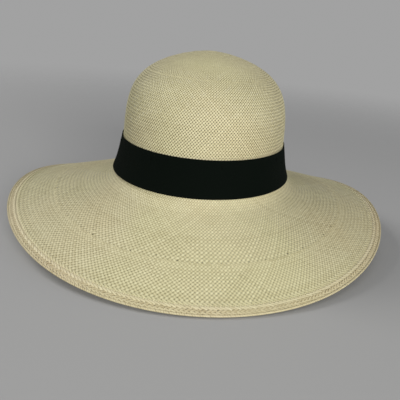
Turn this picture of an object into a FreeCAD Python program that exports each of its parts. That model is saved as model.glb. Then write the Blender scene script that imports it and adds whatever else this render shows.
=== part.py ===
import FreeCAD, Part
import math
import os
from FreeCAD import Vector

# Woven straw sun hat. Millimetres; +Z up, the front of the hat faces -Y.
# The origin is the centre of the head opening, level with the lower edge of the ribbon.

doc = FreeCAD.newDocument("StrawSunHat")
sheet = doc.addObject("Spreadsheet::Sheet", "Sizes")

sizes = {
    # crown wall behind the ribbon
    "HeadHalfWidth": 85.4,
    "OvalExcess": 16.7,
    "WallLean": 6.0,
    "RibbonHeight": 33.0,
    # dome above the ribbon
    "CrownHeight": 118.0,
    "DomeStart": -157.0,
    "DomeFlatness": 15.25,
    "DomeSharpness": 1.19,
    "ApexRadius": 13.0,
    "ApexDrop": 2.2,
    "TipHalfWidth": 60.0,
    # brim, measured along its surface from the head opening
    "BrimLength": 109.7,
    "BrimTurn": 7.0,
    "BrimDroop": 22.5,
    "FrontDroop": 2.2,
    "SideLift": 9.3,
    "SideLiftTurn": 15.7,
    "BrimWave": 2.4,
    "BrimWaveTurn": 16.7,
    "EdgeLength": 9.0,
    # thicknesses and clearances
    "StrawThick": 1.2,
    "EdgeThick": 2.0,
    "RibbonThick": 0.6,
    "SweatThick": 0.9,
    "SweatHeight": 34.0,
    "SoftGap": 0.3,
    "ThreadGap": 0.3,
    # small fittings
    "KeeperLength": 16.0,
    "TapeLength": 12.0,
    "TackHeight": 4.0,
    "StitchLength": 5.0,
    "ThreadThick": 0.5,
    "StitchLift": 4.0,
}
for row, (name, value) in enumerate(sizes.items(), start=1):
    sheet.set("A%d" % row, name)
    sheet.set("B%d" % row, str(value))
    sheet.setAlias("B%d" % row, name)
doc.recompute()


def size(name):
    return float(sheet.get(name))


# Straw surfaces ------------------------------------------------------------

AROUND = 72
DOME_ROWS = 14
WALL_ROWS = 5
BRIM_ROWS = 26


def oval_point(half_width, angle, excess=1.0):
    """A point of the plan oval with this half width, at an angle from +X."""
    half_length = half_width + size("OvalExcess") * excess
    return Vector(half_width * math.cos(angle), half_length * math.sin(angle), 0)


def oval_normal(angle):
    """The outward level direction of the head oval at an angle from +X."""
    half_width = size("HeadHalfWidth")
    half_length = half_width + size("OvalExcess")
    return Vector(math.cos(angle) / half_width, math.sin(angle) / half_length, 0).normalize()


def dome_angle(height):
    """The dome parameter at a height: sin(p)^(2/flatness) = (height - start) / (top - start)."""
    share = (height - size("DomeStart")) / (size("CrownHeight") - size("DomeStart"))
    return math.asin(share ** (size("DomeFlatness") / 2))


def dome_profile(parameter):
    """Share of the full half width, and height, of the superellipse with its apex rounded off."""
    share = max(math.cos(parameter), 0.0) ** (2 / size("DomeSharpness"))
    rise = math.sin(parameter) ** (2 / size("DomeFlatness"))
    rounding = size("ApexDrop") * math.exp(-share * size("HeadHalfWidth") / size("ApexRadius"))
    return share, size("DomeStart") + rise * (size("CrownHeight") - size("DomeStart")) - rounding


def dome_half_width():
    """Half width of the whole superellipse, so that it meets the top of the wall."""
    share = dome_profile(dome_angle(size("RibbonHeight")))[0]
    return (size("HeadHalfWidth") - size("WallLean")) / share


def dome_point(angle, parameter, depth):
    """A point of the dome, a depth inside its outer surface."""
    step = 0.01
    low = max(parameter - step, step)
    high = min(parameter + step, math.pi / 2)
    share, height = dome_profile(parameter)
    run = (dome_profile(high)[0] - dome_profile(low)[0]) * dome_half_width()
    rise = dome_profile(high)[1] - dome_profile(low)[1]
    length = math.hypot(run, rise)
    if parameter >= math.pi / 2:
        return Vector(0, 0, height - depth)
    inward = oval_normal(angle) * (-depth * rise / length) + Vector(0, 0, depth * run / length)
    return oval_point(dome_half_width() * share, angle, share) + Vector(0, 0, height) + inward


def wall_point(angle, share, depth):
    """A point of the straight wall behind the ribbon, share 0 at its foot and 1 at its top."""
    half_width = size("HeadHalfWidth") - size("WallLean") * share
    return (oval_point(half_width, angle) - oval_normal(angle) * depth
            + Vector(0, 0, size("RibbonHeight") * share))


def brim_slope(angle):
    """Fall of the brim below level, in radians, once it has turned out of the crown."""
    degrees = (size("BrimDroop") - size("FrontDroop") * math.sin(angle)
               - size("SideLift") * math.cos(2 * (angle - math.radians(size("SideLiftTurn"))))
               + size("BrimWave") * math.cos(3 * (angle + math.radians(size("BrimWaveTurn")))))
    return math.radians(degrees)


def brim_point(angle, along, depth):
    """A point of the brim: its slope eases from the wall's lean to brim_slope over BrimTurn."""
    fall = brim_slope(angle)
    start = math.pi / 2 - math.atan2(size("WallLean"), size("RibbonHeight"))
    steps = 60
    step = along / steps
    out = 0.0
    down = 0.0
    for index in range(steps):
        slope = fall + (start - fall) * math.exp(-(index + 0.5) * step / size("BrimTurn"))
        out += math.cos(slope) * step
        down += math.sin(slope) * step
    slope = fall + (start - fall) * math.exp(-along / size("BrimTurn"))
    out -= depth * math.sin(slope)
    down += depth * math.cos(slope)
    return oval_point(size("HeadHalfWidth"), angle) + oval_normal(angle) * out - Vector(0, 0, down)


def skin(rows):
    """A smooth face through rings of points, closed around and open across."""
    spread = 3 / (2 + math.cos(2 * math.pi / AROUND))
    poles = []
    for index in range(AROUND):
        poles.append([Vector(row[index].x * spread, row[index].y * spread, row[index].z) for row in rows])
    knots = list(range(len(rows) - 2))
    ends = [4] + [1] * (len(knots) - 2) + [4]
    surface = Part.BSplineSurface()
    surface.buildFromPolesMultsKnots(
        poles, [1] * (AROUND + 1), ends, list(range(AROUND + 1)), knots, True, False, 3, 3)
    return surface.toShape()


def rings(point, stations, depth):
    """Rings of points at each station, a depth inside the outer surface."""
    angles = [2 * math.pi * index / AROUND for index in range(AROUND)]
    return [[point(angle, station, depth) for angle in angles] for station in stations]


def edge_at(face, start):
    """The closed border edge of a face made by skin, at its first or last ring."""
    ring = [edge for edge in face.Edges if edge.isClosed() and not edge.Degenerated]
    ring = [edge for edge in ring if not edge.isSeam(face)]
    target = face.Surface.vIso(face.ParameterRange[2 if start else 3]).value(0)
    return min(ring, key=lambda edge: edge.Vertexes[0].Point.distanceToPoint(target))


def straw_solid(name, point, stations, outer, inner, closed_top=False):
    """A woven sheet as a solid between two depths, with its open edges closed."""
    faces = [skin(rings(point, stations, outer)), skin(rings(point, stations, inner))]
    faces.append(Part.makeRuledSurface(edge_at(faces[0], True), edge_at(faces[1], True)))
    if not closed_top:
        faces.append(Part.makeRuledSurface(edge_at(faces[0], False), edge_at(faces[1], False)))
    shell = Part.makeShell(faces)
    shell.sewShape()
    solid = Part.makeSolid(shell)
    if solid.Volume < 0:
        solid.reverse()
    feature = doc.addObject("Part::Feature", name)
    feature.Shape = solid
    return feature


def crown_point(angle, station, depth):
    """Stations below 1 run up the wall; above 1 they run over the dome."""
    if station <= 1:
        return wall_point(angle, station, depth)
    return dome_point(angle, station - 1, depth)


split = math.acos((size("TipHalfWidth") / dome_half_width()) ** (size("DomeSharpness") / 2))
first = dome_angle(size("RibbonHeight"))
wall_stations = [index / WALL_ROWS for index in range(WALL_ROWS + 1)]
side_stations = [1 + first + (split - first) * index / DOME_ROWS for index in range(DOME_ROWS + 1)]
tip_stations = [split + (math.pi / 2 - split) * index / DOME_ROWS for index in range(DOME_ROWS + 1)]
woven = size("BrimLength") - size("EdgeLength")
brim_stations = [woven * (index / BRIM_ROWS) ** 1.8 for index in range(BRIM_ROWS + 1)]
border = size("EdgeLength") - size("ThreadGap")
edge_stations = [woven + size("ThreadGap") + border * index / 4 for index in range(5)]
thick = size("StrawThick")
rise = (size("EdgeThick") - thick) / 2

crown_side = straw_solid("crown_side", crown_point, wall_stations + side_stations, 0, thick)
crown_tip = straw_solid("crown_tip", dome_point, tip_stations, 0, thick, closed_top=True)
brim = straw_solid("brim", brim_point, brim_stations, 0, thick)
brim_edge = straw_solid("brim_edge", brim_point, edge_stations, -rise, thick + rise)


# Ribbon and sweatband ------------------------------------------------------

def oval_loft(name, offset, bottom, top):
    """A leaning oval plug, a level offset outside the straw wall, between two heights."""
    sections = []
    for label, height in (("Foot", bottom), ("Head", top)):
        oval = doc.addObject("Part::Ellipse", name + label)
        half_width = "Sizes.HeadHalfWidth - Sizes.WallLean * (%s) / Sizes.RibbonHeight + (%s)" % (
            height, offset)
        oval.setExpression("MajorRadius", half_width + " + Sizes.OvalExcess")
        oval.setExpression("MinorRadius", half_width)
        oval.Placement = FreeCAD.Placement(Vector(0, 0, 0), FreeCAD.Rotation(Vector(0, 0, 1), 90))
        oval.setExpression("Placement.Base.z", height)
        sections.append(oval)
    loft = doc.addObject("Part::Loft", name)
    loft.Sections = sections
    loft.Solid = True
    loft.Ruled = True
    return loft


def oval_band(name, inner, outer, bottom, top):
    """A ring between two offsets from the straw wall."""
    band = doc.addObject("Part::Cut", name)
    band.Base = oval_loft(name + "Outer", outer, bottom, top)
    band.Tool = oval_loft(name + "Inner", inner, bottom, top)
    return band


def back_patch(name, inner, outer, bottom, top, length):
    """A short piece of such a ring at the centre of the back."""
    block = doc.addObject("Part::Box", name + "Block")
    block.setExpression("Length", length)
    block.setExpression("Width", "2 * Sizes.OvalExcess")
    block.setExpression("Height", "2 * Sizes.RibbonHeight")
    block.setExpression("Placement.Base.x", "-(%s) / 2" % length)
    block.setExpression("Placement.Base.y", "Sizes.HeadHalfWidth")
    block.setExpression("Placement.Base.z", "-Sizes.RibbonHeight / 2")
    patch = doc.addObject("Part::Common", name)
    patch.Base = oval_band(name + "Ring", inner, outer, bottom, top)
    patch.Tool = block
    return patch


ribbon_in = "Sizes.SoftGap"
ribbon_out = "Sizes.SoftGap + Sizes.RibbonThick"
ribbon_top = "Sizes.RibbonHeight"
sweat_out = "-Sizes.StrawThick - Sizes.SoftGap"
sweat_in = "-Sizes.StrawThick - Sizes.SoftGap - Sizes.SweatThick"
hatband = oval_band("hatband", ribbon_in, ribbon_out, "0", ribbon_top)
keeper = back_patch("hatband_keeper", ribbon_out + " + Sizes.ThreadGap",
                    ribbon_out + " + Sizes.ThreadGap + Sizes.RibbonThick",
                    "0", ribbon_top, "Sizes.KeeperLength")
sweatband = oval_band("sweatband", sweat_in, sweat_out, "0", "Sizes.SweatHeight")
tape_out = sweat_in + " - Sizes.ThreadThick - 2 * Sizes.ThreadGap"
tape = back_patch("sweatband_tape", tape_out + " - Sizes.RibbonThick", tape_out,
                  "0", "Sizes.SweatHeight", "Sizes.TapeLength")


# Thread --------------------------------------------------------------------

TACKS = 8
STITCHES = 60


def thread_ring(name, count, offset, lift, width, height, half_step=0.5):
    """Short threads lying on an oval, spaced evenly, as one group of solids."""
    threads = []
    level = "Sizes.HeadHalfWidth - Sizes.WallLean * (%s) / Sizes.RibbonHeight + (%s)" % (lift, offset)
    for index in range(count):
        turn = 360 * (index + half_step) / count
        angle = math.radians(turn)
        facing = oval_normal(angle)
        thread = doc.addObject("Part::Box", "%s%d" % (name.title().replace("_", ""), index + 1))
        thread.setExpression("Length", "Sizes.ThreadThick")
        thread.setExpression("Width", width)
        thread.setExpression("Height", height)
        heading = math.degrees(math.atan2(facing.y, facing.x))
        thread.Placement = FreeCAD.Placement(
            Vector(0, 0, 0), FreeCAD.Rotation(Vector(0, 0, 1), heading))
        thread.setExpression("Placement.Base.x", "(%s) * %.6f + (%s) / 2 * %.6f" % (
            level, math.cos(angle), width, facing.y))
        thread.setExpression("Placement.Base.y", "(%s + Sizes.OvalExcess) * %.6f - (%s) / 2 * %.6f" % (
            level, math.sin(angle), width, facing.x))
        thread.setExpression("Placement.Base.z", lift)
        threads.append(thread)
    group = doc.addObject("Part::Compound", name)
    group.Links = threads
    return group


tacks = thread_ring("hatband_tacks", TACKS, ribbon_out + " + Sizes.ThreadGap",
                    "Sizes.RibbonHeight - 2 * Sizes.TackHeight", "Sizes.ThreadThick", "Sizes.TackHeight")
stitches = thread_ring("sweatband_stitches", STITCHES,
                       sweat_in + " - Sizes.ThreadGap - Sizes.ThreadThick",
                       "Sizes.StitchLift", "Sizes.StitchLength", "Sizes.ThreadThick")

doc.recompute()

# Every object must be sound before anything is written.
for item in doc.Objects:
    if "Invalid" in item.State or "Error" in item.State:
        raise RuntimeError(item.Name + " did not recompute: " + ", ".join(item.State))

nodes = [crown_tip, crown_side, brim, brim_edge, hatband, keeper, tacks, sweatband, stitches, tape]
os.makedirs("parts", exist_ok=True)
for node in nodes:
    if node.Shape.isNull() or not node.Shape.isValid() or not node.Shape.Solids:
        raise RuntimeError(node.Name + " has no valid solid")
for node in nodes:
    node.Shape.exportStep("parts/%s.step" % node.Name)
    box = node.Shape.BoundBox
    print("%-20s solids %3d volume %10.1f  x %.1f..%.1f y %.1f..%.1f z %.1f..%.1f" % (
        node.Name, len(node.Shape.Solids), node.Shape.Volume,
        box.XMin, box.XMax, box.YMin, box.YMax, box.ZMin, box.ZMax))
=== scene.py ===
import math
import bpy
import numpy as np
from mathutils import Matrix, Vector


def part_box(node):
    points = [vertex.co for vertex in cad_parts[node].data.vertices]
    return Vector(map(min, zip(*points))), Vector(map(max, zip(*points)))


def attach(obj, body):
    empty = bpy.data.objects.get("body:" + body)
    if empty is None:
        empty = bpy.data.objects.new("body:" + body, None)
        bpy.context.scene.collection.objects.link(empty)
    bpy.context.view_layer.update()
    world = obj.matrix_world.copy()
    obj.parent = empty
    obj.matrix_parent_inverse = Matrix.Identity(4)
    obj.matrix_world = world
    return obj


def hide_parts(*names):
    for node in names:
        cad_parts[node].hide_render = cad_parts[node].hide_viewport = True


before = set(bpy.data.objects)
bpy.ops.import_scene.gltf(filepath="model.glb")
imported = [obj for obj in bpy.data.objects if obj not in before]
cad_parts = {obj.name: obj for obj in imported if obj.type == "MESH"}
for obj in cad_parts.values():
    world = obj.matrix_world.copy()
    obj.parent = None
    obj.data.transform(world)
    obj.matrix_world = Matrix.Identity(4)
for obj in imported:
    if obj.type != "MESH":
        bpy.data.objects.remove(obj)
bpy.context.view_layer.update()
print("frame loaded:", sorted(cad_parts))

mm = 0.001
fullTurn = 2 * math.pi
grainJump = 37.0  # how far apart in the grain two strands start, mm per step of tone
stripGap = 0.08  # the margin of a strand's strip on the OFBake map, as a share of the strip

# The shape that the straw is blocked to, in millimetres and degrees.
block = {
    "crownHeight": 118.0,
    "domeStart": -157.0,
    "domeFlatness": 15.25,
    "domeSharpness": 1.19,
    "apexRadius": 13.0,
    "apexDrop": 2.2,
    "wallLean": 6.0,
    "brimLength": 109.7,
    "brimTurn": 7.0,
    "droop": 22.5,
    "frontDroop": 2.2,
    "sideLift": 9.3,
    "sideLiftTurn": 15.7,
    "wave": 2.4,
    "waveTurn": 16.7,
    "strawMiddle": 0.6,  # depth of the middle of the weave below the outer surface
    "soften": 2.5,  # how far the bends are eased
    "step": 0.5,  # spacing of the surface table
    "turns": 720,
    "domeRows": 700,
    "wallRows": 60,
    "brimRows": 440,
}
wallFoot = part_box("crown_side")[1] / mm
headWidth = wallFoot.x
ovalExcess = wallFoot.y - wallFoot.x
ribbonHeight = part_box("hatband")[1].z / mm


def unit(vectors):
    # each vector divided by its own length
    return vectors / np.maximum(np.linalg.norm(vectors, axis=-1, keepdims=True), 1e-12)


def ovalOut(turn):
    # level outward direction of the head oval: (cos/width, sin/length), made unit long
    flat = np.stack([np.cos(turn) / headWidth, np.sin(turn) / (headWidth + ovalExcess), 0 * turn], -1)
    return unit(flat)


def domeProfile(p):
    # superellipse: width share is cos(p)^(2/sharpness), height follows sin(p)^(2/flatness), apex rounded off
    share = np.maximum(np.cos(p), 0) ** (2 / block["domeSharpness"])
    rise = np.sin(p) ** (2 / block["domeFlatness"])
    rounding = block["apexDrop"] * np.exp(-share * headWidth / block["apexRadius"])
    return share, block["domeStart"] + rise * (block["crownHeight"] - block["domeStart"]) - rounding


def blockedSurface():
    # rings of points from the apex over the dome, down the wall and out along the brim, in millimetres;
    # the brim falls by droop with waves of one, two and three to the turn, and its slope eases from the
    # wall's lean to that fall as exp(-along / brimTurn)
    turn = np.arange(block["turns"]) * fullTurn / block["turns"]
    cos, sin = np.cos(turn)[:, None], np.sin(turn)[:, None]
    heightShare = (ribbonHeight - block["domeStart"]) / (block["crownHeight"] - block["domeStart"])
    first = math.asin(heightShare ** (block["domeFlatness"] / 2))
    share, height = domeProfile(math.pi / 2 - (math.pi / 2 - first) * np.linspace(0, 1, block["domeRows"]))
    domeWidth = (headWidth - block["wallLean"]) / share[-1]
    dome = np.stack([domeWidth * share * cos, (domeWidth + ovalExcess) * share * sin, height + 0 * cos], -1)

    up = np.linspace(1, 0, block["wallRows"])[1:]
    width = headWidth - block["wallLean"] * up
    wall = np.stack([width * cos, (width + ovalExcess) * sin, ribbonHeight * up + 0 * cos], -1)

    fall = (block["droop"] - block["frontDroop"] * np.sin(turn)
            - block["sideLift"] * np.cos(2 * (turn - math.radians(block["sideLiftTurn"])))
            + block["wave"] * np.cos(3 * (turn + math.radians(block["waveTurn"]))))
    fall = np.radians(fall)[:, None]
    start = math.pi / 2 - math.atan2(block["wallLean"], ribbonHeight)
    along = np.linspace(0, block["brimLength"], block["brimRows"])
    middle = (along[1:] + along[:-1]) / 2
    slope = fall + (start - fall) * np.exp(-middle / block["brimTurn"])
    out = np.cumsum(np.cos(slope), 1) * along[1]
    down = np.cumsum(np.sin(slope), 1) * along[1]
    foot = np.stack([headWidth * cos, (headWidth + ovalExcess) * sin, 0 * cos], -1)
    brim = foot + ovalOut(turn)[:, None, :] * out[..., None]
    brim[..., 2] -= down
    return np.concatenate([dome, wall, brim], 1), dome.shape[1], dome.shape[1] + wall.shape[1]


def evenRows(rings):
    # the rings resampled to equal steps of mean length along the profile
    length = np.linalg.norm(np.diff(rings, axis=1), axis=2).mean(0)
    along = np.concatenate([[0], np.cumsum(length)])
    even = np.arange(0, along[-1], block["step"])
    place = np.clip(np.searchsorted(along, even, side="right") - 1, 0, len(along) - 2)
    part = ((even - along[place]) / (along[place + 1] - along[place]))[None, :, None]
    return rings[:, place] * (1 - part) + rings[:, place + 1] * part, along


def eased(rings, reach):
    # a running mean along the profile with bell-shaped weights, and the ends kept
    taps = np.arange(-int(3 * reach / block["step"]), int(3 * reach / block["step"]) + 1)
    weights = np.exp(-0.5 * (taps * block["step"] / reach) ** 2)
    weights /= weights.sum()
    wide = np.pad(rings, ((0, 0), (len(taps) // 2,) * 2, (0, 0)), mode="reflect", reflect_type="odd")
    return sum(w * wide[:, k:k + rings.shape[1]] for k, w in enumerate(weights))


rawRings, domeEnd, wallEnd = blockedSurface()
ringPoints, rawAlong = evenRows(rawRings)
ringPoints = eased(ringPoints, block["soften"])
acrossDirection = np.roll(ringPoints, -1, 0) - np.roll(ringPoints, 1, 0)
alongDirection = np.gradient(ringPoints, axis=1)
ringNormals = np.cross(alongDirection, acrossDirection)
ringNormals[:, :3] = (0, 0, 1)
ringNormals = unit(ringNormals)
ringOut = unit(alongDirection)
ringRadius = np.hypot(ringPoints[..., 0], ringPoints[..., 1]).mean(0)
ringAlong = np.arange(ringPoints.shape[1]) * block["step"]
# how far a strand at 45 degrees has turned by each row: the running sum of step / radius
ringSweep = np.concatenate([[0], np.cumsum(block["step"] / np.maximum(ringRadius[1:], 0.5))])
wallTopAlong = rawAlong[domeEnd - 1]
wallFootAlong = rawAlong[wallEnd - 1]
edgeAlong = ringAlong[-1]
print("straw surface: profile of %.0f mm" % edgeAlong)


def onHat(turn, along):
    # place, normal and outward direction at a turn and a length along the profile, read between table points
    turn, along = np.broadcast_arrays(turn, along)
    u = (turn / fullTurn * block["turns"]) % block["turns"]
    v = np.clip(along / block["step"], 0, len(ringAlong) - 1.001)
    i, j = u.astype(int) % block["turns"], v.astype(int)
    nextI = (i + 1) % block["turns"]
    fu, fv = (u - np.floor(u))[..., None], (v - j)[..., None]

    def read(table):
        # a table's value between its four nearest points
        low = table[i, j] * (1 - fu) + table[nextI, j] * fu
        high = table[i, j + 1] * (1 - fu) + table[nextI, j + 1] * fu
        return low * (1 - fv) + high * fv

    beyond = np.maximum(along - edgeAlong, 0)[..., None]
    out = unit(read(ringOut))
    return read(ringPoints) + out * beyond, unit(read(ringNormals)), out


def cornerCodes(count, samples, corners):
    # the corner number of each point of flat strands, plus 10 on a strand's first and last ring; -1 if round
    if corners != 4:
        return np.full(count * samples * corners, -1)
    codes = np.tile(np.arange(corners), (samples, 1))
    codes[[0, -1]] += 10
    return np.tile(codes.ravel(), count)


def tubes(place, normal, halfWidth, halfThick, corners=4, tone=None, tangent=None, paintedSideShade=0.0):
    # closed strands: a flattened section of a few corners carried along each row of points, with both ends
    # capped; the tone falls by the side-shade amount from the middle of a strand to its sides, as painted
    # shade at its edges
    count, samples = place.shape[:2]
    if tangent is None:
        tangent = unit(np.gradient(place, axis=1))
    side = unit(np.cross(normal, tangent))
    up = np.cross(tangent, side)
    angle = np.arange(corners) * fullTurn / corners
    wide = np.broadcast_to(halfWidth, (count, samples))[..., None, None]
    thick = np.broadcast_to(halfThick, (count, samples))[..., None, None]
    ring = (place[:, :, None] + side[:, :, None] * np.cos(angle)[:, None] * wide
            + up[:, :, None] * np.sin(angle)[:, None] * thick)
    i, c = np.meshgrid(np.arange(samples - 1), np.arange(corners), indexing="ij")
    stepAlong = np.stack([i, i, i + 1, i + 1], -1).reshape(-1, 4)
    stepAround = np.stack([c, c + 1, c + 1, c], -1).reshape(-1, 4)
    # each end is a fan of quads
    fan = [[0, k + 1, k + 2, (k + 3) % corners] for k in range(0, corners - 2, 2)]
    stepAlong = np.concatenate([stepAlong, [[0] * 4] * len(fan), [[samples - 1] * 4] * len(fan)])
    stepAround = np.concatenate([stepAround, [quad[::-1] for quad in fan], fan])
    local = stepAlong * corners + stepAround % corners
    faces = local[None] + (np.arange(count) * samples * corners)[:, None, None]
    length = np.concatenate([np.zeros((count, 1)),
                             np.cumsum(np.linalg.norm(np.diff(place, axis=1), axis=2), 1)], 1)
    lengthUv = length[:, stepAlong]
    acrossUv = np.broadcast_to(stepAround / corners, lengthUv.shape)
    if tone is None:
        tone = np.zeros(count)
    tone = np.broadcast_to(tone.reshape(count, -1), (count, samples))
    return {
        "points": ring.reshape(-1, 3),
        "faces": faces.reshape(-1, 4),
        "fibre": np.stack([lengthUv + grainJump * tone[:, :1, None], acrossUv], -1).reshape(-1, 2),
        "bake": np.stack([np.broadcast_to(stepAlong / (samples - 1), lengthUv.shape), acrossUv], -1),
        "tone": (tone[..., None] - paintedSideShade * abs(np.cos(angle))).clip(0, 1).ravel(),
        "corner": cornerCodes(count, samples, corners),
        "strands": count,
    }


def makePiece(name, parts, material):
    # parts joined into one mesh; each strand has its own strip of the OFBake map, one above the other
    total = sum(p["strands"] for p in parts)
    shift = np.cumsum([0] + [len(p["points"]) for p in parts])
    row = np.cumsum([0] + [p["strands"] for p in parts])
    points = np.concatenate([p["points"] for p in parts]) * mm
    faces = np.concatenate([p["faces"] + shift[k] for k, p in enumerate(parts)]).astype(np.int32)
    strips = []
    for k, p in enumerate(parts):
        strip = p["bake"].copy()
        order = np.arange(row[k], row[k + 1])[:, None, None]
        strip[..., 1] = (order + stripGap + (1 - 2 * stripGap) * strip[..., 1]) / total
        strips.append(strip.reshape(-1, 2))
    mesh = bpy.data.meshes.new(name)
    mesh.vertices.add(len(points))
    mesh.vertices.foreach_set("co", points.astype(np.float32).ravel())
    mesh.loops.add(faces.size)
    mesh.loops.foreach_set("vertex_index", faces.ravel())
    mesh.polygons.add(len(faces))
    mesh.polygons.foreach_set("loop_start", np.arange(0, faces.size, 4, dtype=np.int32))
    mesh.update(calc_edges=True)
    fibre = mesh.uv_layers.new(name="fibre")
    fibre.uv.foreach_set("vector", np.concatenate([p["fibre"] for p in parts]).astype(np.float32).ravel())
    bake = mesh.uv_layers.new(name="OFBake")
    bake.uv.foreach_set("vector", np.concatenate(strips).astype(np.float32).ravel())
    tone = mesh.attributes.new("tone", "FLOAT", "POINT")
    tone.data.foreach_set("value", np.concatenate([p["tone"] for p in parts]).astype(np.float32))
    mesh.polygons.foreach_set("use_smooth", np.full(len(faces), True))
    # a strand is flat with crisp sides: the edges along its two side corners and round its ends are sharp
    corner = np.concatenate([p["corner"] for p in parts])
    ends = np.empty(len(mesh.edges) * 2, dtype=np.int32)
    mesh.edges.foreach_get("vertices", ends)
    ends = corner[ends.reshape(-1, 2)]
    sharp = mesh.attributes.new("sharp_edge", "BOOLEAN", "EDGE")
    sideEdge = (ends[:, 0] % 10 == ends[:, 1] % 10) & np.isin(ends[:, 0] % 10, (0, 2))
    sharp.data.foreach_set("value", sideEdge | (ends.min(1) >= 10))
    mesh.materials.append(material)
    piece = addObject(name, mesh)
    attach(piece, "root")
    print("%s: %d faces" % (name, len(faces)))
    return piece


def addObject(name, data):
    # a new object in the scene
    holder = bpy.data.objects.new(name, data)
    bpy.context.scene.collection.objects.link(holder)
    return holder


def newMaterial(name):
    # a node material, its tree and its main shader
    material = bpy.data.materials.new(name)
    material.use_nodes = True
    tree = material.node_tree
    return material, tree, tree.nodes["Principled BSDF"]


def addNode(tree, kind, values=None, **links):
    # a node with its input values set and its inputs linked from other sockets
    node = tree.nodes.new(kind)
    for key, value in (values or {}).items():
        if key in node.inputs:
            node.inputs[key].default_value = value
        else:
            setattr(node, key, value)
    for key, source in links.items():
        tree.links.new(source, node.inputs[key.replace("_", " ")])
    return node


def addMath(tree, operation, first, second):
    # one arithmetic step on two sockets or numbers
    node = tree.nodes.new("ShaderNodeMath")
    node.operation = operation
    for k, value in enumerate((first, second)):
        if isinstance(value, (int, float)):
            node.inputs[k].default_value = value
        else:
            tree.links.new(value, node.inputs[k])
    return node.outputs[0]


def addMix(tree, factor, first, second, blend="MIX"):
    # one colour mix; each input is a socket or a plain value
    node = tree.nodes.new("ShaderNodeMix")
    node.data_type = "RGBA"
    node.blend_type = blend
    for key, value in ((0, factor), (6, first), (7, second)):
        if hasattr(value, "links"):
            tree.links.new(value, node.inputs[key])
        else:
            node.inputs[key].default_value = value
    return node.outputs[2]


def addRamp(tree, factor, stops):
    # a colour ramp; stops are (place, colour)
    node = tree.nodes.new("ShaderNodeValToRGB")
    ramp = node.color_ramp
    while len(ramp.elements) < len(stops):
        ramp.elements.new(0.5)
    for element, (place, colour) in zip(ramp.elements, stops):
        element.position = place
        element.color = (*colour, 1)
    tree.links.new(factor, node.inputs["Fac"])
    return node.outputs["Color"]


def addRange(tree, value, fromLow, fromHigh, low, high):
    # a value moved from one range to another, and held inside it
    node = addNode(tree, "ShaderNodeMapRange", {"From Min": fromLow, "From Max": fromHigh, "To Min": low,
                                                "To Max": high}, Value=value)
    return node.outputs["Result"]


def newGroup(name, inputs, outputs):
    # an empty shader group with named sockets: (name, kind, value)
    group = bpy.data.node_groups.new(name, "ShaderNodeTree")
    for label, kind, value in inputs:
        socket = group.interface.new_socket(label, in_out="INPUT", socket_type="NodeSocket" + kind)
        if value is not None:
            socket.default_value = value
    for label, kind in outputs:
        group.interface.new_socket(label, in_out="OUTPUT", socket_type="NodeSocket" + kind)
    return group, group.nodes.new("NodeGroupInput"), group.nodes.new("NodeGroupOutput")


def useGroup(tree, group, values):
    # a shader group placed in a material with its own values
    node = tree.nodes.new("ShaderNodeGroup")
    node.node_tree = group
    for key, value in values.items():
        node.inputs[key].default_value = value
    return node


def fibrePlace(tree):
    # the place along and across a strand or tape, from the fibre map
    fibre = addNode(tree, "ShaderNodeUVMap", {"uv_map": "fibre"})
    parts = addNode(tree, "ShaderNodeSeparateXYZ", Vector=fibre.outputs["UV"])
    return parts.outputs["X"], parts.outputs["Y"]


def fibreGroup():
    # long fine fibres: noise stretched far along each strand, from the fibre map
    group, given, result = newGroup(
        "longFibres",
        [("Length scale", "Float", 0.25), ("Across scale", "Float", 9.0), ("Depth", "Float", 1.0)],
        [("Streak", "Float"), ("Blotch", "Float")])
    along, around = fibrePlace(group)
    long = addMath(group, "MULTIPLY", along, given.outputs["Length scale"])
    across = addMath(group, "MULTIPLY", around, given.outputs["Across scale"])
    joined = addNode(group, "ShaderNodeCombineXYZ", X=long, Y=across)
    streak = addNode(group, "ShaderNodeTexNoise", {"Scale": 1.0, "Detail": 4.0, "Roughness": 0.6},
                     Vector=joined.outputs["Vector"])
    slow = addMath(group, "MULTIPLY", along, 0.06)
    slowPlace = addNode(group, "ShaderNodeCombineXYZ", {"Y": 3.7}, X=slow)
    blotch = addNode(group, "ShaderNodeTexNoise", {"Scale": 1.0, "Detail": 3.0, "Roughness": 0.55},
                     Vector=slowPlace.outputs["Vector"])
    strength = addMath(group, "MULTIPLY", addMath(group, "SUBTRACT", streak.outputs["Fac"], 0.5),
                       given.outputs["Depth"])
    group.links.new(addMath(group, "ADD", strength, 0.5), result.inputs["Streak"])
    group.links.new(blotch.outputs["Fac"], result.inputs["Blotch"])
    return group


def tapeGroup():
    # woven tape: thread crossings are one sine across times one sine along, and soft noise is the lint
    group, given, result = newGroup(
        "tapeWeave",
        [("Threads", "Float", 9.0), ("Warps", "Float", 9.0), ("Along scale", "Float", 1.0),
         ("Across scale", "Float", 1.0)],
        [("Crossings", "Float"), ("Lint", "Float")])
    along, around = fibrePlace(group)
    long = addMath(group, "MULTIPLY", along, given.outputs["Along scale"])
    across = addMath(group, "MULTIPLY", around, given.outputs["Across scale"])
    thread = addMath(group, "SINE", addMath(group, "MULTIPLY", around, given.outputs["Threads"]), 0)
    warp = addMath(group, "SINE", addMath(group, "MULTIPLY", along, given.outputs["Warps"]), 0)
    joined = addNode(group, "ShaderNodeCombineXYZ", X=long, Y=across)
    lint = addNode(group, "ShaderNodeTexNoise", {"Scale": 1.0, "Detail": 5.0, "Roughness": 0.65},
                   Vector=joined.outputs["Vector"])
    group.links.new(addMath(group, "MULTIPLY", thread, warp), result.inputs["Crossings"])
    group.links.new(lint.outputs["Fac"], result.inputs["Lint"])
    return group


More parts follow.
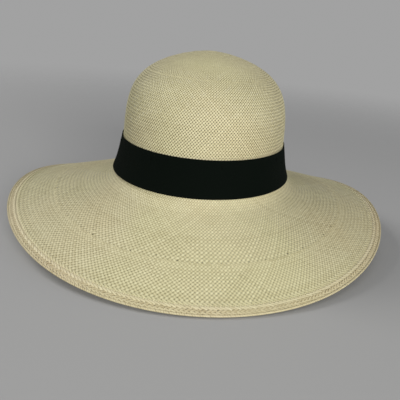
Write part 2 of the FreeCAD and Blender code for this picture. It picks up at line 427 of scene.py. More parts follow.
def plyGroup():
    # twisted thread: a sine of the place along plus the place around, so that the plies slant
    group, given, result = newGroup("twistedPly", [("Twist", "Float", 9.0)], [("Ply", "Float")])
    along, around = fibrePlace(group)
    slant = addMath(group, "ADD", addMath(group, "MULTIPLY", along, given.outputs["Twist"]),
                    addMath(group, "MULTIPLY", around, fullTurn))
    group.links.new(addMath(group, "SINE", slant, 0), result.inputs["Ply"])
    return group


longFibres = fibreGroup()
tapeWeave = tapeGroup()
twistedPly = plyGroup()

# Colours of natural palm straw, from the darkest strand to the palest, and its grain.
strawFinish = {
    "stops": [(0.0, (0.41, 0.36, 0.20)), (0.3, (0.55, 0.50, 0.30)), (0.55, (0.69, 0.64, 0.41)),
              (0.8, (0.81, 0.765, 0.51)), (1.0, (0.86, 0.82, 0.58))],
    "borderStops": [(0.0, (0.43, 0.355, 0.21)), (0.35, (0.62, 0.54, 0.34)), (0.6, (0.75, 0.675, 0.46)),
                    (0.8, (0.82, 0.765, 0.53)), (1.0, (0.86, 0.81, 0.59))],
    "grain": {"Length scale": 0.22, "Across scale": 7.0, "Depth": 1.2},
    "blotch": 0.22,  # how far the tone drifts along a strand
    "streakShade": (0.62, 0.55, 0.40, 1),
    "streakDepth": 0.45,
    "tintScale": 9.0,
    "tintShare": 0.6,
    "tints": [(0.35, (0.975, 1.0, 0.94)), (0.5, (1, 1, 1)), (0.65, (1.0, 0.955, 0.92))],
    "roughness": (0.42, 0.66),
    "specular": 0.35,
    "relief": {"Strength": 0.35, "Distance": 0.00012},
}


def strawMaterial(name, stops):
    # per-strand colour, with painted shade and painted light carried in its tone, fine fibres along it, slow
    # changes of tint, and a waxy half-gloss
    material, tree, shader = newMaterial(name)
    grain = useGroup(tree, longFibres, strawFinish["grain"])
    streak = grain.outputs["Streak"]
    # the tone holds each strand's own tone plus painted shade at its sides and under crossings, and painted
    # light on its tops and on one family
    tone = addNode(tree, "ShaderNodeAttribute", {"attribute_name": "tone"})
    drift = addMath(tree, "SUBTRACT", grain.outputs["Blotch"], 0.5)
    drift = addMath(tree, "MULTIPLY", drift, strawFinish["blotch"])
    colour = addRamp(tree, addMath(tree, "ADD", tone.outputs["Fac"], drift), stops)
    streakMask = addRange(tree, streak, 0.35, 0.75, 0.0, strawFinish["streakDepth"])
    colour = addMix(tree, streakMask, colour, strawFinish["streakShade"], "MULTIPLY")
    place = addNode(tree, "ShaderNodeTexCoord")
    wide = addNode(tree, "ShaderNodeTexNoise", {"Scale": strawFinish["tintScale"], "Detail": 2.0},
                   Vector=place.outputs["Object"])
    tint = addRamp(tree, wide.outputs["Fac"], strawFinish["tints"])
    colour = addMix(tree, strawFinish["tintShare"], colour, tint, "MULTIPLY")
    tree.links.new(colour, shader.inputs["Base Color"])
    tree.links.new(addRange(tree, streak, 0.0, 1.0, *strawFinish["roughness"]), shader.inputs["Roughness"])
    bump = addNode(tree, "ShaderNodeBump", strawFinish["relief"], Height=streak)
    tree.links.new(bump.outputs["Normal"], shader.inputs["Normal"])
    shader.inputs["Specular IOR Level"].default_value = strawFinish["specular"]
    return material


strawCloth = strawMaterial("naturalStraw", strawFinish["stops"])
strawBorder = strawMaterial("plaitedStraw", strawFinish["borderStops"])

# The open plain weave: two families of strands, with more strands added as the hat widens.
weave = {
    "tipRadii": [2.6, 11.0, 20.0, 32.0, 48.0, 66.0],  # mm from the crown's middle where strands are added
    "tipStrands": [30, 60, 90, 120, 150],  # strands of each family between those radii
    "crownStrands": 180,
    "innerBrimStrands": 228,
    "outerBrimStrands": 292,
    "ringShare": 0.585,  # where the brim's added strands start, as a share of the brim
    "tipFill": 0.85,  # the share of its pitch that a strand covers on top of the crown
    "shoulderFill": 0.64,
    "crownFill": 0.59,
    "brimFill": 0.82,
    "halfThick": 0.17,
    "lift": 0.24,  # how far a strand rises over and dips under
    "wander": 0.008,  # sideways scatter, as a share of the pitch
    "sway": 0.5,  # how much of it changes along a strand, and how fast
    "swayTurn": 0.23,
    "uneven": 0.02,  # scatter of the width
    "heightScatter": 0.008,
    "fullPitch": 2.2,  # pitch at which strands have their full thickness and lift, mm
    "tone": 0.55,  # usual tone of a strand, 0 dark to 1 pale
    "toneSpread": 0.04,
    "darkShare": 0.03,  # share of strands that are darker, and by how much
    "darkBy": (0.06, 0.14),
    "holes": 46,  # small eyes where strands are added
    "holeScatter": 0.12,
    "holeBack": 2.6,  # how far inside the row of added strands the eyes lie, mm
    "holePush": 0.75,  # how far the strands stand apart round an eye, mm
    "holeReach": 2.0,
    "holeCore": 0.15,
    "crowding": 0.08,  # how much fuller the weave is where strands were just added
    "crowdPlace": 3.0,
    "crowdReach": 4.0,
    "paintedCrossingLightShade": 0.31,  # painted light and shade: how much paler a strand is where it lies on top, and darker where it dips under
    "familyPaintedLight": 0.06,  # painted light: the strands of one family are paler than those of the other
    "paintedSideShade": 0.38,  # painted shade: how much darker a strand is at its sides
    "rowCrowding": 1.3,  # strands of a twined row on the crown, per strand of the weave
    "tipRowHalf": 0.8,  # half the width of a twined row on the crown, mm
    "ringRowHalf": 1.2,  # and of the row on the brim
    "domeOver": 3.0,  # how far the dome's weave runs down the wall, mm
    "brimOver": 4.0,  # how far the brim's weave runs up the wall
    "lastRow": (-11.9, -9.3),  # the slanted row before the border, mm from the edge
    "weaveEnd": -8.8,
}
chance = np.random.default_rng(11)
holeTurns = np.arange(weave["holes"]) + weave["holeScatter"] * chance.standard_normal(weave["holes"])
holeTurns = holeTurns * fullTurn / weave["holes"]


def strandTones(count):
    # one tone per strand, 0 dark to 1 pale: mostly middling, with a few darker ones
    tone = weave["tone"] + weave["toneSpread"] * chance.standard_normal(count)
    dark = chance.random(count) < weave["darkShare"]
    tone[dark] -= weave["darkBy"][0] + (weave["darkBy"][1] - weave["darkBy"][0]) * chance.random(dark.sum())
    return np.clip(tone, 0.02, 1)


def openHoles(turn, along, holeAlong):
    # strands pushed away from each eye: push * exp(-(distance / reach)^2), in the direction away from it
    radius = np.interp(holeAlong, ringAlong, ringRadius)
    number = np.round(turn / fullTurn * weave["holes"]).astype(int) % weave["holes"]
    acrossGap = ((turn - holeTurns[number] + math.pi) % fullTurn - math.pi) * radius
    alongGap = along - holeAlong
    distance = np.sqrt(acrossGap ** 2 + alongGap ** 2) + weave["holeCore"]
    push = weave["holePush"] * np.exp(-(distance / weave["holeReach"]) ** 2) / distance
    return turn + acrossGap * push / radius, along + alongGap * push


def weaveZone(start, end, count, fill, perRow=2, holeAlong=None, crowdAlong=None, stretches=1):
    # two spiral families at 45 degrees that go over and under each other; crossing m of a strand lies at
    # turn i + m / 2 pitches and at a sweep of m * pi / count, and its height is lift * cos(pi * m);
    # the zone comes back cut into stretches of equal length, whose ends meet; fill is one share, or two that
    # it runs between from start to end
    sweepStart, sweepEnd = np.interp([start, end], ringAlong, ringSweep)
    rows = max(2, round((sweepEnd - sweepStart) * count / math.pi))
    m = np.arange(0, rows * perRow + 1) / perRow
    along = np.interp(sweepStart + (sweepEnd - sweepStart) * m / rows, ringSweep, ringAlong)
    pitch = fullTurn * np.interp(along, ringAlong, ringRadius) / count * math.sqrt(0.5)
    fill = np.interp(along, (start, end), np.broadcast_to(fill, 2))
    if crowdAlong:
        fill = fill + weave["crowding"] * np.exp(-((along - crowdAlong) / weave["crowdReach"]) ** 2)
    cuts = np.linspace(0, len(m) - 1, stretches + 1).round().astype(int)
    parts = [[] for _ in range(stretches)]
    fullness = pitch / weave["fullPitch"]
    for direction in (1, -1):
        strand = np.arange(count)[:, None]
        slow = np.sin(m * weave["swayTurn"] + fullTurn * chance.random((count, 1))) * weave["sway"]
        scatter = (chance.standard_normal((count, 1)) + slow) * weave["wander"]
        turn = fullTurn / count * (strand + scatter + direction * m / 2)
        place = np.broadcast_to(along, turn.shape)
        if holeAlong:
            turn, place = openHoles(turn, place, holeAlong)
        rise = direction * weave["lift"] * np.cos(math.pi * m) * fullness.clip(0.5, 1)
        place, normal, out = onHat(turn, place)
        height = rise - block["strawMiddle"] + weave["heightScatter"] * chance.standard_normal((count, 1))
        wide = fill * pitch / 2 * (1 + weave["uneven"] * chance.standard_normal((count, 1)))
        thick = weave["halfThick"] * fullness.clip(0.55, 1)
        middle = place + normal * height[..., None]
        tangent = unit(np.gradient(middle, axis=1))
        # painted light: one family of strands is made paler than the other
        tone = strandTones(count)[:, None] - weave["familyPaintedLight"] * direction
        # painted light on top of each crossing and painted shade where a strand dips under the other family
        tone = tone + weave["paintedCrossingLightShade"] * direction * np.cos(math.pi * m)
        for k, (low, high) in enumerate(zip(cuts[:-1], cuts[1:])):
            part = slice(low, high + 1)
            parts[k].append(tubes(middle[:, part], normal[:, part], wide[:, part], thick[part],
                                  tone=tone[:, part], tangent=tangent[:, part], paintedSideShade=weave["paintedSideShade"]))
    return parts[0] if stretches == 1 else parts


# Rows of short slanted strands: slant in pitches, base height and hump, half width and half thickness in mm.
rows = {
    "samples": 5,
    "turnScatter": 0.06,
    "heightScatter": 0.05,
    "widthScatter": 0.08,
    "endWidth": 0.55,  # width at a strand's ends, as a share of its middle
    "tip": {"slant": 1.2, "base": 0.05, "hump": 0.15, "halfWidth": 0.5, "halfThick": 0.18, "tone": 0.0},
    "ring": {"slant": 1.2, "base": 0.05, "hump": 0.16, "halfWidth": 0.85, "halfThick": 0.2, "tone": 0.0},
    "last": {"slant": 1.0, "base": 0.1, "hump": 0.35, "halfWidth": 0.85, "halfThick": 0.28, "tone": 0.15},
    "inner": {"slant": 1.4, "base": 0.2, "hump": 0.45, "halfWidth": 0.95, "halfThick": 0.32, "tone": 0.2},
    "middle": {"slant": -1.25, "base": 0.15, "hump": 0.36, "halfWidth": 0.85, "halfThick": 0.3, "tone": -0.1},
    "outer": {"slant": 1.25, "base": 0.15, "hump": 0.34, "halfWidth": 0.85, "halfThick": 0.3, "tone": 0.02},
}


def twinedRow(start, end, count, kind, face=1):
    # short strands laid side by side, each crossing the row on a slant and humping up in the middle
    row = rows[kind]
    t = np.linspace(0, 1, rows["samples"])
    swell = np.sin(math.pi * t)
    strand = np.arange(count)[:, None]
    scatter = rows["turnScatter"] * chance.standard_normal((count, 1))
    turn = fullTurn / count * (strand + scatter + row["slant"] * (t - 0.5))
    place, normal, out = onHat(turn, start + (end - start) * t)
    height = face * (row["base"] + row["hump"] * swell) - block["strawMiddle"]
    height = height + rows["heightScatter"] * chance.standard_normal((count, 1))
    taper = rows["endWidth"] + (1 - rows["endWidth"]) * swell
    taper = taper * (1 + rows["widthScatter"] * chance.standard_normal((count, 1)))
    tone = strandTones(count) + row["tone"]
    return tubes(place + normal * height[..., None], normal * face, row["halfWidth"] * taper,
                 row["halfThick"] * taper, tone=tone, paintedSideShade=weave["paintedSideShade"])


tipAlong = np.interp(weave["tipRadii"], ringRadius, ringAlong)
tipZones = []
for start, end, strands in zip(tipAlong[:-1], tipAlong[1:], weave["tipStrands"]):
    fills = (weave["tipFill"], weave["tipFill"] if end < tipAlong[-1] else weave["shoulderFill"])
    tipZones.append(weaveZone(start, end, strands, fills))
tipRows = [[twinedRow(along - weave["tipRowHalf"], along + weave["tipRowHalf"],
                      round(strands * weave["rowCrowding"]), "tip")]
           for along, strands in zip(tipAlong[1:], weave["tipStrands"])]


def strawPiece(name, parts):
    # one piece of the straw weave
    return makePiece(name, parts, strawCloth)


apex = {
    "strands": 7,
    "samples": 15,
    "reach": 4.2,
    "pitch": 1.15,
    "lift": 0.2,
    "depth": 0.35,
    "halfWidth": 0.46,
    "halfThick": 0.17,
}


def rosette():
    # a small square of plain weave over the apex, where the weaving starts: straight strands both ways, with
    # heights of lift * cos(pi * crossing)
    count, samples = apex["strands"], apex["samples"]
    lines = (np.arange(count) - (count - 1) / 2) * apex["pitch"]
    t = np.linspace(-apex["reach"], apex["reach"], samples)
    across = np.broadcast_to(lines[:, None], (count, samples))
    along = np.broadcast_to(t[None], (count, samples))
    parts = []
    for direction in (0, 1):
        flat = (along, across) if direction == 0 else (across, along)
        turn, radius = np.arctan2(flat[1], flat[0]), np.hypot(*flat)
        place, normal, out = onHat(turn, np.interp(radius, ringRadius, ringAlong))
        crossing = along / apex["pitch"] + np.arange(count)[:, None] + direction
        rise = apex["lift"] * np.cos(math.pi * crossing) - apex["depth"]
        parts.append(tubes(place + normal * rise[..., None], normal, apex["halfWidth"], apex["halfThick"],
                           tone=strandTones(count)))
    return parts


crownTip = strawPiece("crownTipWeave", sum(tipZones[:-1], []) + sum(tipRows[:-1], []) + rosette())
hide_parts("crown_tip")
sideStart, sideEnd = tipAlong[-1], wallTopAlong + weave["domeOver"]
brimStart = wallFootAlong - weave["brimOver"]
shoulder, upper, side = weaveZone(sideStart, sideEnd, weave["crownStrands"],
                                  (weave["shoulderFill"], weave["crownFill"]), stretches=3)
strawPiece("crownShoulderWeave", tipZones[-1] + tipRows[-1] + shoulder)
strawPiece("crownUpperWeave", upper)
underRibbon = weaveZone(sideEnd, brimStart, weave["crownStrands"], weave["crownFill"], perRow=1)
crownSide = strawPiece("crownSideWeave", side + underRibbon)
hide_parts("crown_side")

weaveEnd = edgeAlong + weave["weaveEnd"]
ringPlace = wallFootAlong + weave["ringShare"] * (edgeAlong - wallFootAlong)
inner, centre = weaveZone(brimStart, ringPlace, weave["innerBrimStrands"], weave["brimFill"],
                          holeAlong=ringPlace - weave["holeBack"], stretches=2)
strawPiece("brimInnerWeave", inner)
ringRow = twinedRow(ringPlace - weave["ringRowHalf"], ringPlace + weave["ringRowHalf"],
                    weave["outerBrimStrands"], "ring")
strawPiece("brimCentreWeave", centre + [ringRow])
outer, rim = weaveZone(ringPlace, weaveEnd, weave["outerBrimStrands"], weave["brimFill"],
                       crowdAlong=ringPlace + weave["crowdPlace"], stretches=2)
brimOuter = strawPiece("brimOuterWeave", outer)
lastStart, lastEnd = (edgeAlong + reach for reach in weave["lastRow"])
lastRows = [twinedRow(lastStart, lastEnd, weave["outerBrimStrands"], "last", face) for face in (1, -1)]
strawPiece("brimRimWeave", rim + lastRows)
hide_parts("brim")

# The border where the strands' ends are woven back, on both faces of the brim, and the lip round the edge.
border = {
    "strands": 300,
    "inner": (-8.3, -5.7),  # each row from and to, mm from the edge
    "middle": (-5.8, -3.7),
    "outer": (-3.9, -1.8),
    "base": (-0.4, -1.2),  # the weave underneath: from the end of the brim's weave, and to the edge
    "baseFill": 0.5,
    "lipStrands": 620,
    "lipRadius": 0.85,
    "lipSlant": 1.5,
    "lipScatter": 0.05,
    "lipArc": 130.0,  # how far each wrap goes round, degrees each way
    "lipSamples": 7,
    "lipHalfWidth": 0.78,
    "lipHalfThick": 0.2,
    "lipTone": 0.05,
}


def lipWraps():
    # strands wound round the very edge: each goes round an arc of a circle about the edge line, on a slant
    count = border["lipStrands"]
    t = np.linspace(0, 1, border["lipSamples"])
    strand = np.arange(count)[:, None]
    scatter = border["lipScatter"] * chance.standard_normal((count, 1))
    turn = fullTurn / count * (strand + border["lipSlant"] * (t - 0.5) + scatter)
    around = np.radians(border["lipArc"] * (1 - 2 * t))[None, :, None]
    place, normal, out = onHat(turn, np.full_like(turn, edgeAlong - border["lipRadius"]))
    facing = out * np.cos(around) + normal * np.sin(around)
    centre = place - normal * block["strawMiddle"]
    return tubes(centre + facing * border["lipRadius"], facing, border["lipHalfWidth"],
                 border["lipHalfThick"], tone=strandTones(count) + border["lipTone"],
                 paintedSideShade=weave["paintedSideShade"])


baseStart, baseEnd = weaveEnd + border["base"][0], edgeAlong + border["base"][1]
borderRows = weaveZone(baseStart, baseEnd, weave["outerBrimStrands"], border["baseFill"])
borderRows.append(lipWraps())
for face in (1, -1):
    for kind in ("inner", "middle", "outer"):
        start, end = (edgeAlong + reach for reach in border[kind])
        borderRows.append(twinedRow(start, end, border["strands"], kind, face))
brimBorder = makePiece("brimBorder", borderRows, strawBorder)
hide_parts("brim_edge")

ribbon = {
    "ribs": 560,
    "perRib": 4,
    "ribHeight": 0.10,
    "inside": 0.30,  # from the straw to the back of the ribbon
    "thick": 0.50,
    "flare": 1.3,  # how far the lower edge stands out, over what length, and how fast it comes in
    "flareLength": 7.0,
    "flareShape": 1.6,
    "leftFlare": 0.8,  # more of it on the left
    "selvedge": 0.16,  # how much thicker the woven edges are, and their width as a share of the ribbon's
    "selvedgeWidth": 0.035,
    "ripple": 0.22,
    "fineRipple": 0.10,
}
sweat = {
    "ribs": 360,
    "perRib": 4,
    "ribHeight": 0.08,
    "gap": 0.35,
    "thick": 0.75,
    "selvedgeWidth": 0.04,
    "ripple": 0.35,
}
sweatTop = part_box("sweatband")[1].z / mm


def wallPoint(turn, height, out):
    # a point on the crown's wall at a turn and a height, moved straight out from it; all in mm
    width = headWidth - block["wallLean"] * height / ribbonHeight
    place = np.stack([width * np.cos(turn), (width + ovalExcess) * np.sin(turn), height + 0 * turn], -1)
    return place + ovalOut(turn) * np.broadcast_to(out, turn.shape)[..., None]


def clothPart(place, faces, fibre, bake):
    # a closed cloth surface as the one part of a piece
    count = place.size // 3
    return {
        "points": place.reshape(-1, 3),
        "faces": faces,
        "fibre": fibre.reshape(-1, 2),
        "bake": bake[None],
        "tone": np.zeros(count),
        "corner": np.full(count, -1),
        "strands": 1,
    }


def runLength(line):
    # the running length of a closed line, one value more than its points
    length = np.concatenate([[0], np.cumsum(np.linalg.norm(np.diff(line, axis=0), axis=1))])
    return np.append(length, length[-1] + length[1] - length[0])


def bandRing(band, top, offset, facing=1):
    # a closed ring of tape: rows of points go up the outside and back down the inside, and each lies
    # offset(turn, share of the height, side) out from the wall, in mm
    around = band["ribs"] * band["perRib"]
    climb = np.concatenate([[0, 0.02, 0.05, 0.1], np.linspace(0.2, 0.8, 7), [0.9, 0.95, 0.98, 1]])
    back = np.linspace(0.98, 0.02, 5)
    rows = len(climb) + len(back)
    turn, share = np.meshgrid(np.arange(around) * fullTurn / around, np.append(climb, back), indexing="ij")
    side = np.broadcast_to(np.arange(rows) < len(climb), share.shape)
    place = wallPoint(turn, top * share, offset(turn, share, side))
    i, j = np.meshgrid(np.arange(around), np.arange(rows), indexing="ij")
    i = np.stack([i, i + 1, i + 1, i], -1).reshape(-1, 4)[:, ::facing]
    j = np.stack([j, j, j + 1, j + 1], -1).reshape(-1, 4)[:, ::facing]
    fibre = np.stack([runLength(place[:, 0])[i], runLength(place[0])[j]], -1)
    return clothPart(place, (i % around) * rows + j % rows, fibre, np.stack([i / around, j / rows], -1))


def wovenEdges(share, width):
    # 1 at both edges of a tape, falling off inwards as a bell curve
    return np.exp(-((share / width) ** 2)) + np.exp(-(((1 - share) / width) ** 2))


def ribbonOffset(turn, share, side):
    # back of the ribbon, then its thickness with ribs across it, thicker edges and a flared lower edge
    rib = 0.5 + 0.5 * np.cos(turn * ribbon["ribs"])
    edge = wovenEdges(share, ribbon["selvedgeWidth"])
    low = share * ribbonHeight
    leave = ribbon["flare"] * np.exp(-((low / ribbon["flareLength"]) ** ribbon["flareShape"]))
    ripple = ribbon["ripple"] * np.sin(3 * turn + 1.1) * (1 - share) ** 2
    ripple = ripple + ribbon["fineRipple"] * np.sin(7 * turn + 0.4) * (1 - share)
    left = ribbon["leftFlare"] * np.maximum(-np.cos(turn), 0) ** 3 * (1 - share) ** 2
    front = ribbon["thick"] + ribbon["ribHeight"] * rib * (1 - 0.6 * edge) + ribbon["selvedge"] * edge
    return ribbon["inside"] + leave + ripple + left + side * front


def sweatOffset(turn, share, side):
    # the sweatband lies inside the straw; side 1 is the face towards the head
    rib = 0.5 + 0.5 * np.cos(turn * sweat["ribs"])
    edge = wovenEdges(share, sweat["selvedgeWidth"])
    back = -(2 * block["strawMiddle"] + sweat["gap"])
    lean = sweat["ripple"] * (1 + np.sin(5 * turn + 0.7)) * share ** 2
    front = sweat["thick"] * (0.8 + 0.2 * edge) + sweat["ribHeight"] * rib * (1 - 0.5 * edge)
    return back - lean - side * front


ribbonFinish = {
    "weave": {"Along scale": 1.5, "Across scale": 0.6, "Threads": 15.0, "Warps": 12.0},
    "stops": [(0.3, (0.0018, 0.0034, 0.0023)), (0.55, (0.0030, 0.0052, 0.0036)),
              (0.8, (0.0058, 0.0090, 0.0068))],
    "threadShade": 0.5,
    "roughness": (0.7, 0.9),
    "specular": 0.035,
    "sheen": 0.005,
    "sheenTint": (0.55, 0.8, 0.65, 1),
}
sweatFinish = {
    "weave": {"Along scale": 1.0, "Across scale": 0.8, "Threads": 9.0, "Warps": 9.0},
    "stops": [(0.3, (0.52, 0.45, 0.35)), (0.55, (0.62, 0.56, 0.46)), (0.8, (0.72, 0.67, 0.57))],
    "threadShade": 0.35,
    "roughness": (0.7, 0.9),
    "specular": 0.2,
    "sheen": 0.1,
    "sheenTint": (1, 1, 1, 1),
}


def clothMaterial(name, finish):
    # ribbed tape: fine cross threads between the ribs, small changes of tone, and a soft sheen at the edges
    material, tree, shader = newMaterial(name)
    woven = useGroup(tree, tapeWeave, finish["weave"])
    crossings, lint = woven.outputs["Crossings"], woven.outputs["Lint"]
    shade = addRange(tree, crossings, -1.0, 1.0, 0.0, finish["threadShade"])
    colour = addMix(tree, shade, addRamp(tree, lint, finish["stops"]), (0.35, 0.35, 0.35, 1), "MULTIPLY")
    tree.links.new(colour, shader.inputs["Base Color"])
    tree.links.new(addRange(tree, lint, 0.0, 1.0, *finish["roughness"]), shader.inputs["Roughness"])
    bump = addNode(tree, "ShaderNodeBump", {"Strength": 0.5, "Distance": 0.00008},
                   Height=addMath(tree, "ADD", crossings, lint))
    tree.links.new(bump.outputs["Normal"], shader.inputs["Normal"])
    shader.inputs["Specular IOR Level"].default_value = finish["specular"]
    shader.inputs["Sheen Weight"].default_value = finish["sheen"]
    shader.inputs["Sheen Roughness"].default_value = 0.45
    shader.inputs["Sheen Tint"].default_value = finish["sheenTint"]
    return material


ribbonCloth = clothMaterial("darkRibbon", ribbonFinish)
sweatCloth = clothMaterial("sweatTape", sweatFinish)
hatRibbon = makePiece("hatRibbon", [bandRing(ribbon, ribbonHeight, ribbonOffset)], ribbonCloth)
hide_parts("hatband")
sweatBand = makePiece("sweatBand", [bandRing(sweat, sweatTop, sweatOffset, -1)], sweatCloth)
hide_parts("sweatband")

# Covers over the joins at the back: half width, thickness, how far each stands clear, and its ribs.
patch = {
    "columns": 33,
    "rows": 120,
    "rim": 0.8,  # width of the rounded rim, mm
    "rimThick": 0.35,  # thickness at the rim, as a share
    "ribHeight": 0.06,
    "keeper": {"half": 8.0, "thick": 0.55, "clear": 0.12, "ribs": 33},
    "tape": {"half": 6.0, "thick": 0.5, "clear": 0.15, "ribs": 40},
}


def backPatch(kind, top, offset, facing):
    # a short closed patch at the back of the wall, laid on the band that offset gives; its rounded face with
    # ribs stands outwards (facing 1) or towards the head (facing -1)
    cover = patch[kind]
    columns, rows, half = patch["columns"], patch["rows"], cover["half"]
    x, share = np.meshgrid(np.linspace(-half, half, columns), np.linspace(0, 1, rows), indexing="ij")
    turn = math.pi / 2 - x / (headWidth + 1)
    edge = np.minimum(np.minimum(half - abs(x), share * top), (1 - share) * top) / patch["rim"]
    rounded = np.sqrt(1 - (1 - edge.clip(0, 1)) ** 2)
    rib = patch["ribHeight"] * np.cos(share * fullTurn * cover["ribs"])
    laid = offset(turn, share, np.ones_like(share)) + facing * cover["clear"]
    thick = cover["thick"] * (patch["rimThick"] + (1 - patch["rimThick"]) * rounded)
    faceFront = wallPoint(turn, share * top, laid + facing * (thick + rib * rounded))
    faceBack = wallPoint(turn, share * top, laid)
    around = 2 * rows
    i, j = np.meshgrid(np.arange(columns - 1), np.arange(around), indexing="ij")
    i = np.stack([i, i, i + 1, i + 1], -1).reshape(-1, 4)
    j = np.stack([j, j + 1, j + 1, j], -1).reshape(-1, 4) % around
    k = np.arange(rows - 1)
    cap = np.stack([k, around - 1 - k, around - 2 - k, k + 1], -1)
    i = np.concatenate([i, 0 * cap, 0 * cap + columns - 1])[:, ::facing]
    j = np.concatenate([j, cap, cap[:, ::-1]])[:, ::facing]
    fibre = np.stack([j * top / rows, i * 2 * half / columns], -1)
    place = np.concatenate([faceFront, faceBack[:, ::-1]], 1)
    return clothPart(place, i * around + j, fibre, np.stack([i / columns, j / around], -1))


keeper = makePiece("ribbonKeeper", [backPatch("keeper", ribbonHeight, ribbonOffset, 1)], ribbonCloth)
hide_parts("hatband_keeper")
tape = makePiece("joinTape", [backPatch("tape", sweatTop, sweatOffset, -1)], sweatCloth)
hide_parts("sweatband_tape")

thread = {
    "tacks": 8,
    "tackLow": 25.0,
    "tackHigh": 29.0,
    "tackOut": 0.24,  # how far a tack lies in front of the ribbon's face, mm
    "stitches": 60,
    "stitchLow": 4.2,
    "stitchLength": 5.0,
    "stitchOut": 0.2,
    "dip": 0.45,  # how far a stitch's ends go into the cloth
    "samples": 7,
    "radius": 0.22,
    "corners": 8,
    "twist": 9.0,
}


def plainThread(name, tint):
    # twisted sewing thread: slanted plies from the fibre map as a fine relief and a change of shade
    material, tree, shader = newMaterial(name)
    ply = useGroup(tree, twistedPly, {"Twist": thread["twist"]}).outputs["Ply"]
    colour = addMix(tree, addRange(tree, ply, -1.0, 1.0, 0.0, 0.5), (*tint, 1), (*(0.6 * c for c in tint), 1))
    tree.links.new(colour, shader.inputs["Base Color"])
    bump = addNode(tree, "ShaderNodeBump", {"Strength": 0.6, "Distance": 0.0001}, Height=ply)
    tree.links.new(bump.outputs["Normal"], shader.inputs["Normal"])
    shader.inputs["Roughness"].default_value = 0.85
    shader.inputs["Specular IOR Level"].default_value = 0.06
    return material


def threadPiece(name, turn, height, out, facing, material):
    # round threads along rows of points on the wall
    threads = tubes(wallPoint(turn, height, out), facing * ovalOut(turn), thread["radius"], thread["radius"],
                    corners=thread["corners"])
    return makePiece(name, [threads], material)


t = np.linspace(0, 1, thread["samples"])
dip = thread["dip"] * (2 * t - 1) ** 4
turn = (np.arange(thread["tacks"])[:, None] + 0.5) * fullTurn / thread["tacks"] + 0 * t
height = thread["tackLow"] + (thread["tackHigh"] - thread["tackLow"]) * t + 0 * turn
out = ribbonOffset(turn, height / ribbonHeight, np.ones_like(turn)) + thread["tackOut"] - dip
tacks = threadPiece("ribbonTacks", turn, height, out, 1, plainThread("blackThread", (0.0020, 0.0032, 0.0024)))
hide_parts("hatband_tacks")

turn = (np.arange(thread["stitches"])[:, None] + 0.5) * fullTurn / thread["stitches"]
turn = turn + thread["stitchLength"] / (headWidth + 6) * (t - 0.5)
height = thread["stitchLow"] + 0 * turn
out = sweatOffset(turn, height / sweatTop, np.ones_like(turn)) - thread["stitchOut"] + dip
stitches = threadPiece("sweatStitches", turn, height, out, -1, plainThread("paleThread", (0.72, 0.67, 0.56)))
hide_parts("sweatband_stitches")

view = {
    "height": 153.5,  # of the camera above the ribbon's lower edge, mm
    "distance": 555.1,  # level distance from the crown's axis, mm
    "turn": 8.4,  # degrees from straight in front, towards +X
    "roll": 5.34,
    "lens": 50.4,
    "originRight": 0.153,  # degrees that the origin lies right of the line of sight
    "originUp": 3.372,  # and above it
}


def placed(right, up, back, at):
    # the place and turn of a camera or lamp, from its three directions and its position
    matrix = np.eye(4)
    matrix[:3, 0], matrix[:3, 1], matrix[:3, 2], matrix[:3, 3] = right, up, back, at
    return Matrix([list(row) for row in matrix])


def addCamera():
    # the camera looks at the origin and rolls about that line, then turns by the rotation that takes the line
    # of sight to where the origin lies at the two given angles from it
    camera = bpy.data.cameras.new("camera")
    camera.lens = view["lens"]
    camera.sensor_width = 36.0
    turn, roll = math.radians(view["turn"]), math.radians(view["roll"])
    at = np.array([view["distance"] * math.sin(turn), -view["distance"] * math.cos(turn), view["height"]])
    ahead = -at / np.linalg.norm(at)
    right = unit(np.cross(ahead, [0, 0, 1]))
    up = np.cross(right, ahead)
    right, up = math.cos(roll) * right + math.sin(roll) * up, -math.sin(roll) * right + math.cos(roll) * up
    aim = unit(np.array([math.tan(math.radians(view[k])) for k in ("originRight", "originUp")] + [1.0]))
    k = np.array([[0, 0, aim[0]], [0, 0, aim[1]], [-aim[0], -aim[1], 0]])
    right, up, ahead = (np.eye(3) + k + k @ k / (1 + aim[2])) @ np.array([right, up, ahead])
    holder = addObject("camera", camera)
    bpy.context.scene.camera = holder
    holder.matrix_world = placed(right, up, -ahead, at * mm)


def addLight(name, place, size, power, colour):
    # a soft square lamp at a place in metres, aimed at the crown's foot
    lamp = bpy.data.lights.new(name, "AREA")
    lamp.energy = power
    lamp.size = size
    lamp.color = colour
    holder = addObject(name, lamp)
    back = unit(np.array(place) - np.array([0, 0, 0.02]))
    right = unit(np.cross([0, 0, 1], back))
    holder.matrix_world = placed(right, np.cross(back, right), back, place)


addCamera()
addLight("keyLamp", (1.24, -2.66, 0.62), 1.4, 80.0, (1.0, 0.995, 0.975))
addLight("sideLamp", (-2.28, 0.24, 1.90), 1.4, 29.0, (1.0, 0.99, 0.98))
addLight("topLamp", (0.1, -1.3, 2.6), 1.6, 8.0, (1.0, 1.0, 1.0))
print("camera and lamps set")

stage = {
    "floorReach": 4.0,
    "floorColour": (0.52, 0.52, 0.52, 1),
    "floorGap": 0.00005,
    "fade": (0.45, 1.5),  # the floor fades into the backdrop between these distances, metres
    "backdrop": (0.36, 0.36, 0.36, 1),
    "ambient": (0.95, 0.97, 1.0, 1),
    "ambientStrength": 0.15,
}


def mixShaders(tree, factor, first, second, outputName):
    # one shader fading to another, sent to the tree's output
    mix = addNode(tree, "ShaderNodeMixShader", {}, Fac=factor)
    tree.links.new(first, mix.inputs[1])
    tree.links.new(second, mix.inputs[2])
    tree.links.new(mix.outputs[0], tree.nodes[outputName].inputs["Surface"])


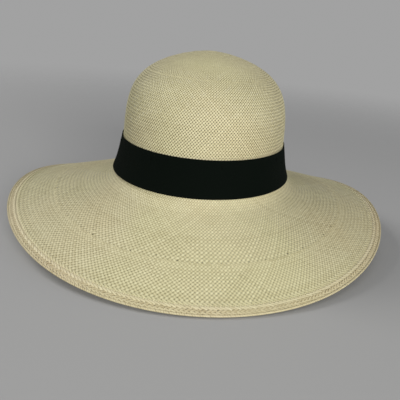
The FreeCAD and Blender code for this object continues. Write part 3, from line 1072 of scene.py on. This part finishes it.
borderPlaces = np.empty(len(brimBorder.data.vertices) * 3, dtype=np.float32)
brimBorder.data.vertices.foreach_get("co", borderPlaces)
floorHeight = float(borderPlaces[2::3].min()) - stage["floorGap"]
floorMesh = bpy.data.meshes.new("floor")
corners = [(x * stage["floorReach"], y * stage["floorReach"], floorHeight)
           for x, y in ((-1, -1), (1, -1), (1, 1), (-1, 1))]
floorMesh.from_pydata(corners, [], [(0, 1, 2, 3)])
floor = addObject("floor", floorMesh)
# no horizon line shows, and the floor can be seen through from below
floorMaterial, tree, shader = newMaterial("paleFloor")
shader.inputs["Base Color"].default_value = stage["floorColour"]
shader.inputs["Roughness"].default_value = 0.9
shader.inputs["Specular IOR Level"].default_value = 0.1
floorMesh.materials.append(floorMaterial)
place = addNode(tree, "ShaderNodeTexCoord")
reach = addNode(tree, "ShaderNodeVectorMath", {"operation": "LENGTH"}, Vector=place.outputs["Object"])
fade = addNode(tree, "ShaderNodeMapRange", {"From Min": stage["fade"][0], "From Max": stage["fade"][1],
                                            "interpolation_type": "SMOOTHSTEP"}, Value=reach.outputs["Value"])
clear = addNode(tree, "ShaderNodeBsdfTransparent")
below = addNode(tree, "ShaderNodeNewGeometry")
unseen = addMath(tree, "MAXIMUM", fade.outputs["Result"], below.outputs["Backfacing"])
mixShaders(tree, unseen, shader.outputs[0], clear.outputs[0], "Material Output")

world = bpy.data.worlds.new("world")
bpy.context.scene.world = world
world.use_nodes = True
tree = world.node_tree
ambient = tree.nodes["Background"]
ambient.inputs["Color"].default_value = stage["ambient"]
ambient.inputs["Strength"].default_value = stage["ambientStrength"]
pale = addNode(tree, "ShaderNodeBackground", {"Color": stage["backdrop"], "Strength": 1.0})
path = addNode(tree, "ShaderNodeLightPath")
seen = addMath(tree, "MAXIMUM", path.outputs["Is Camera Ray"], path.outputs["Is Glossy Ray"])
seen = addMath(tree, "MAXIMUM", seen, path.outputs["Is Transmission Ray"])
mixShaders(tree, seen, ambient.outputs[0], pale.outputs[0], "World Output")

bpy.context.scene.view_settings.view_transform = "Standard"
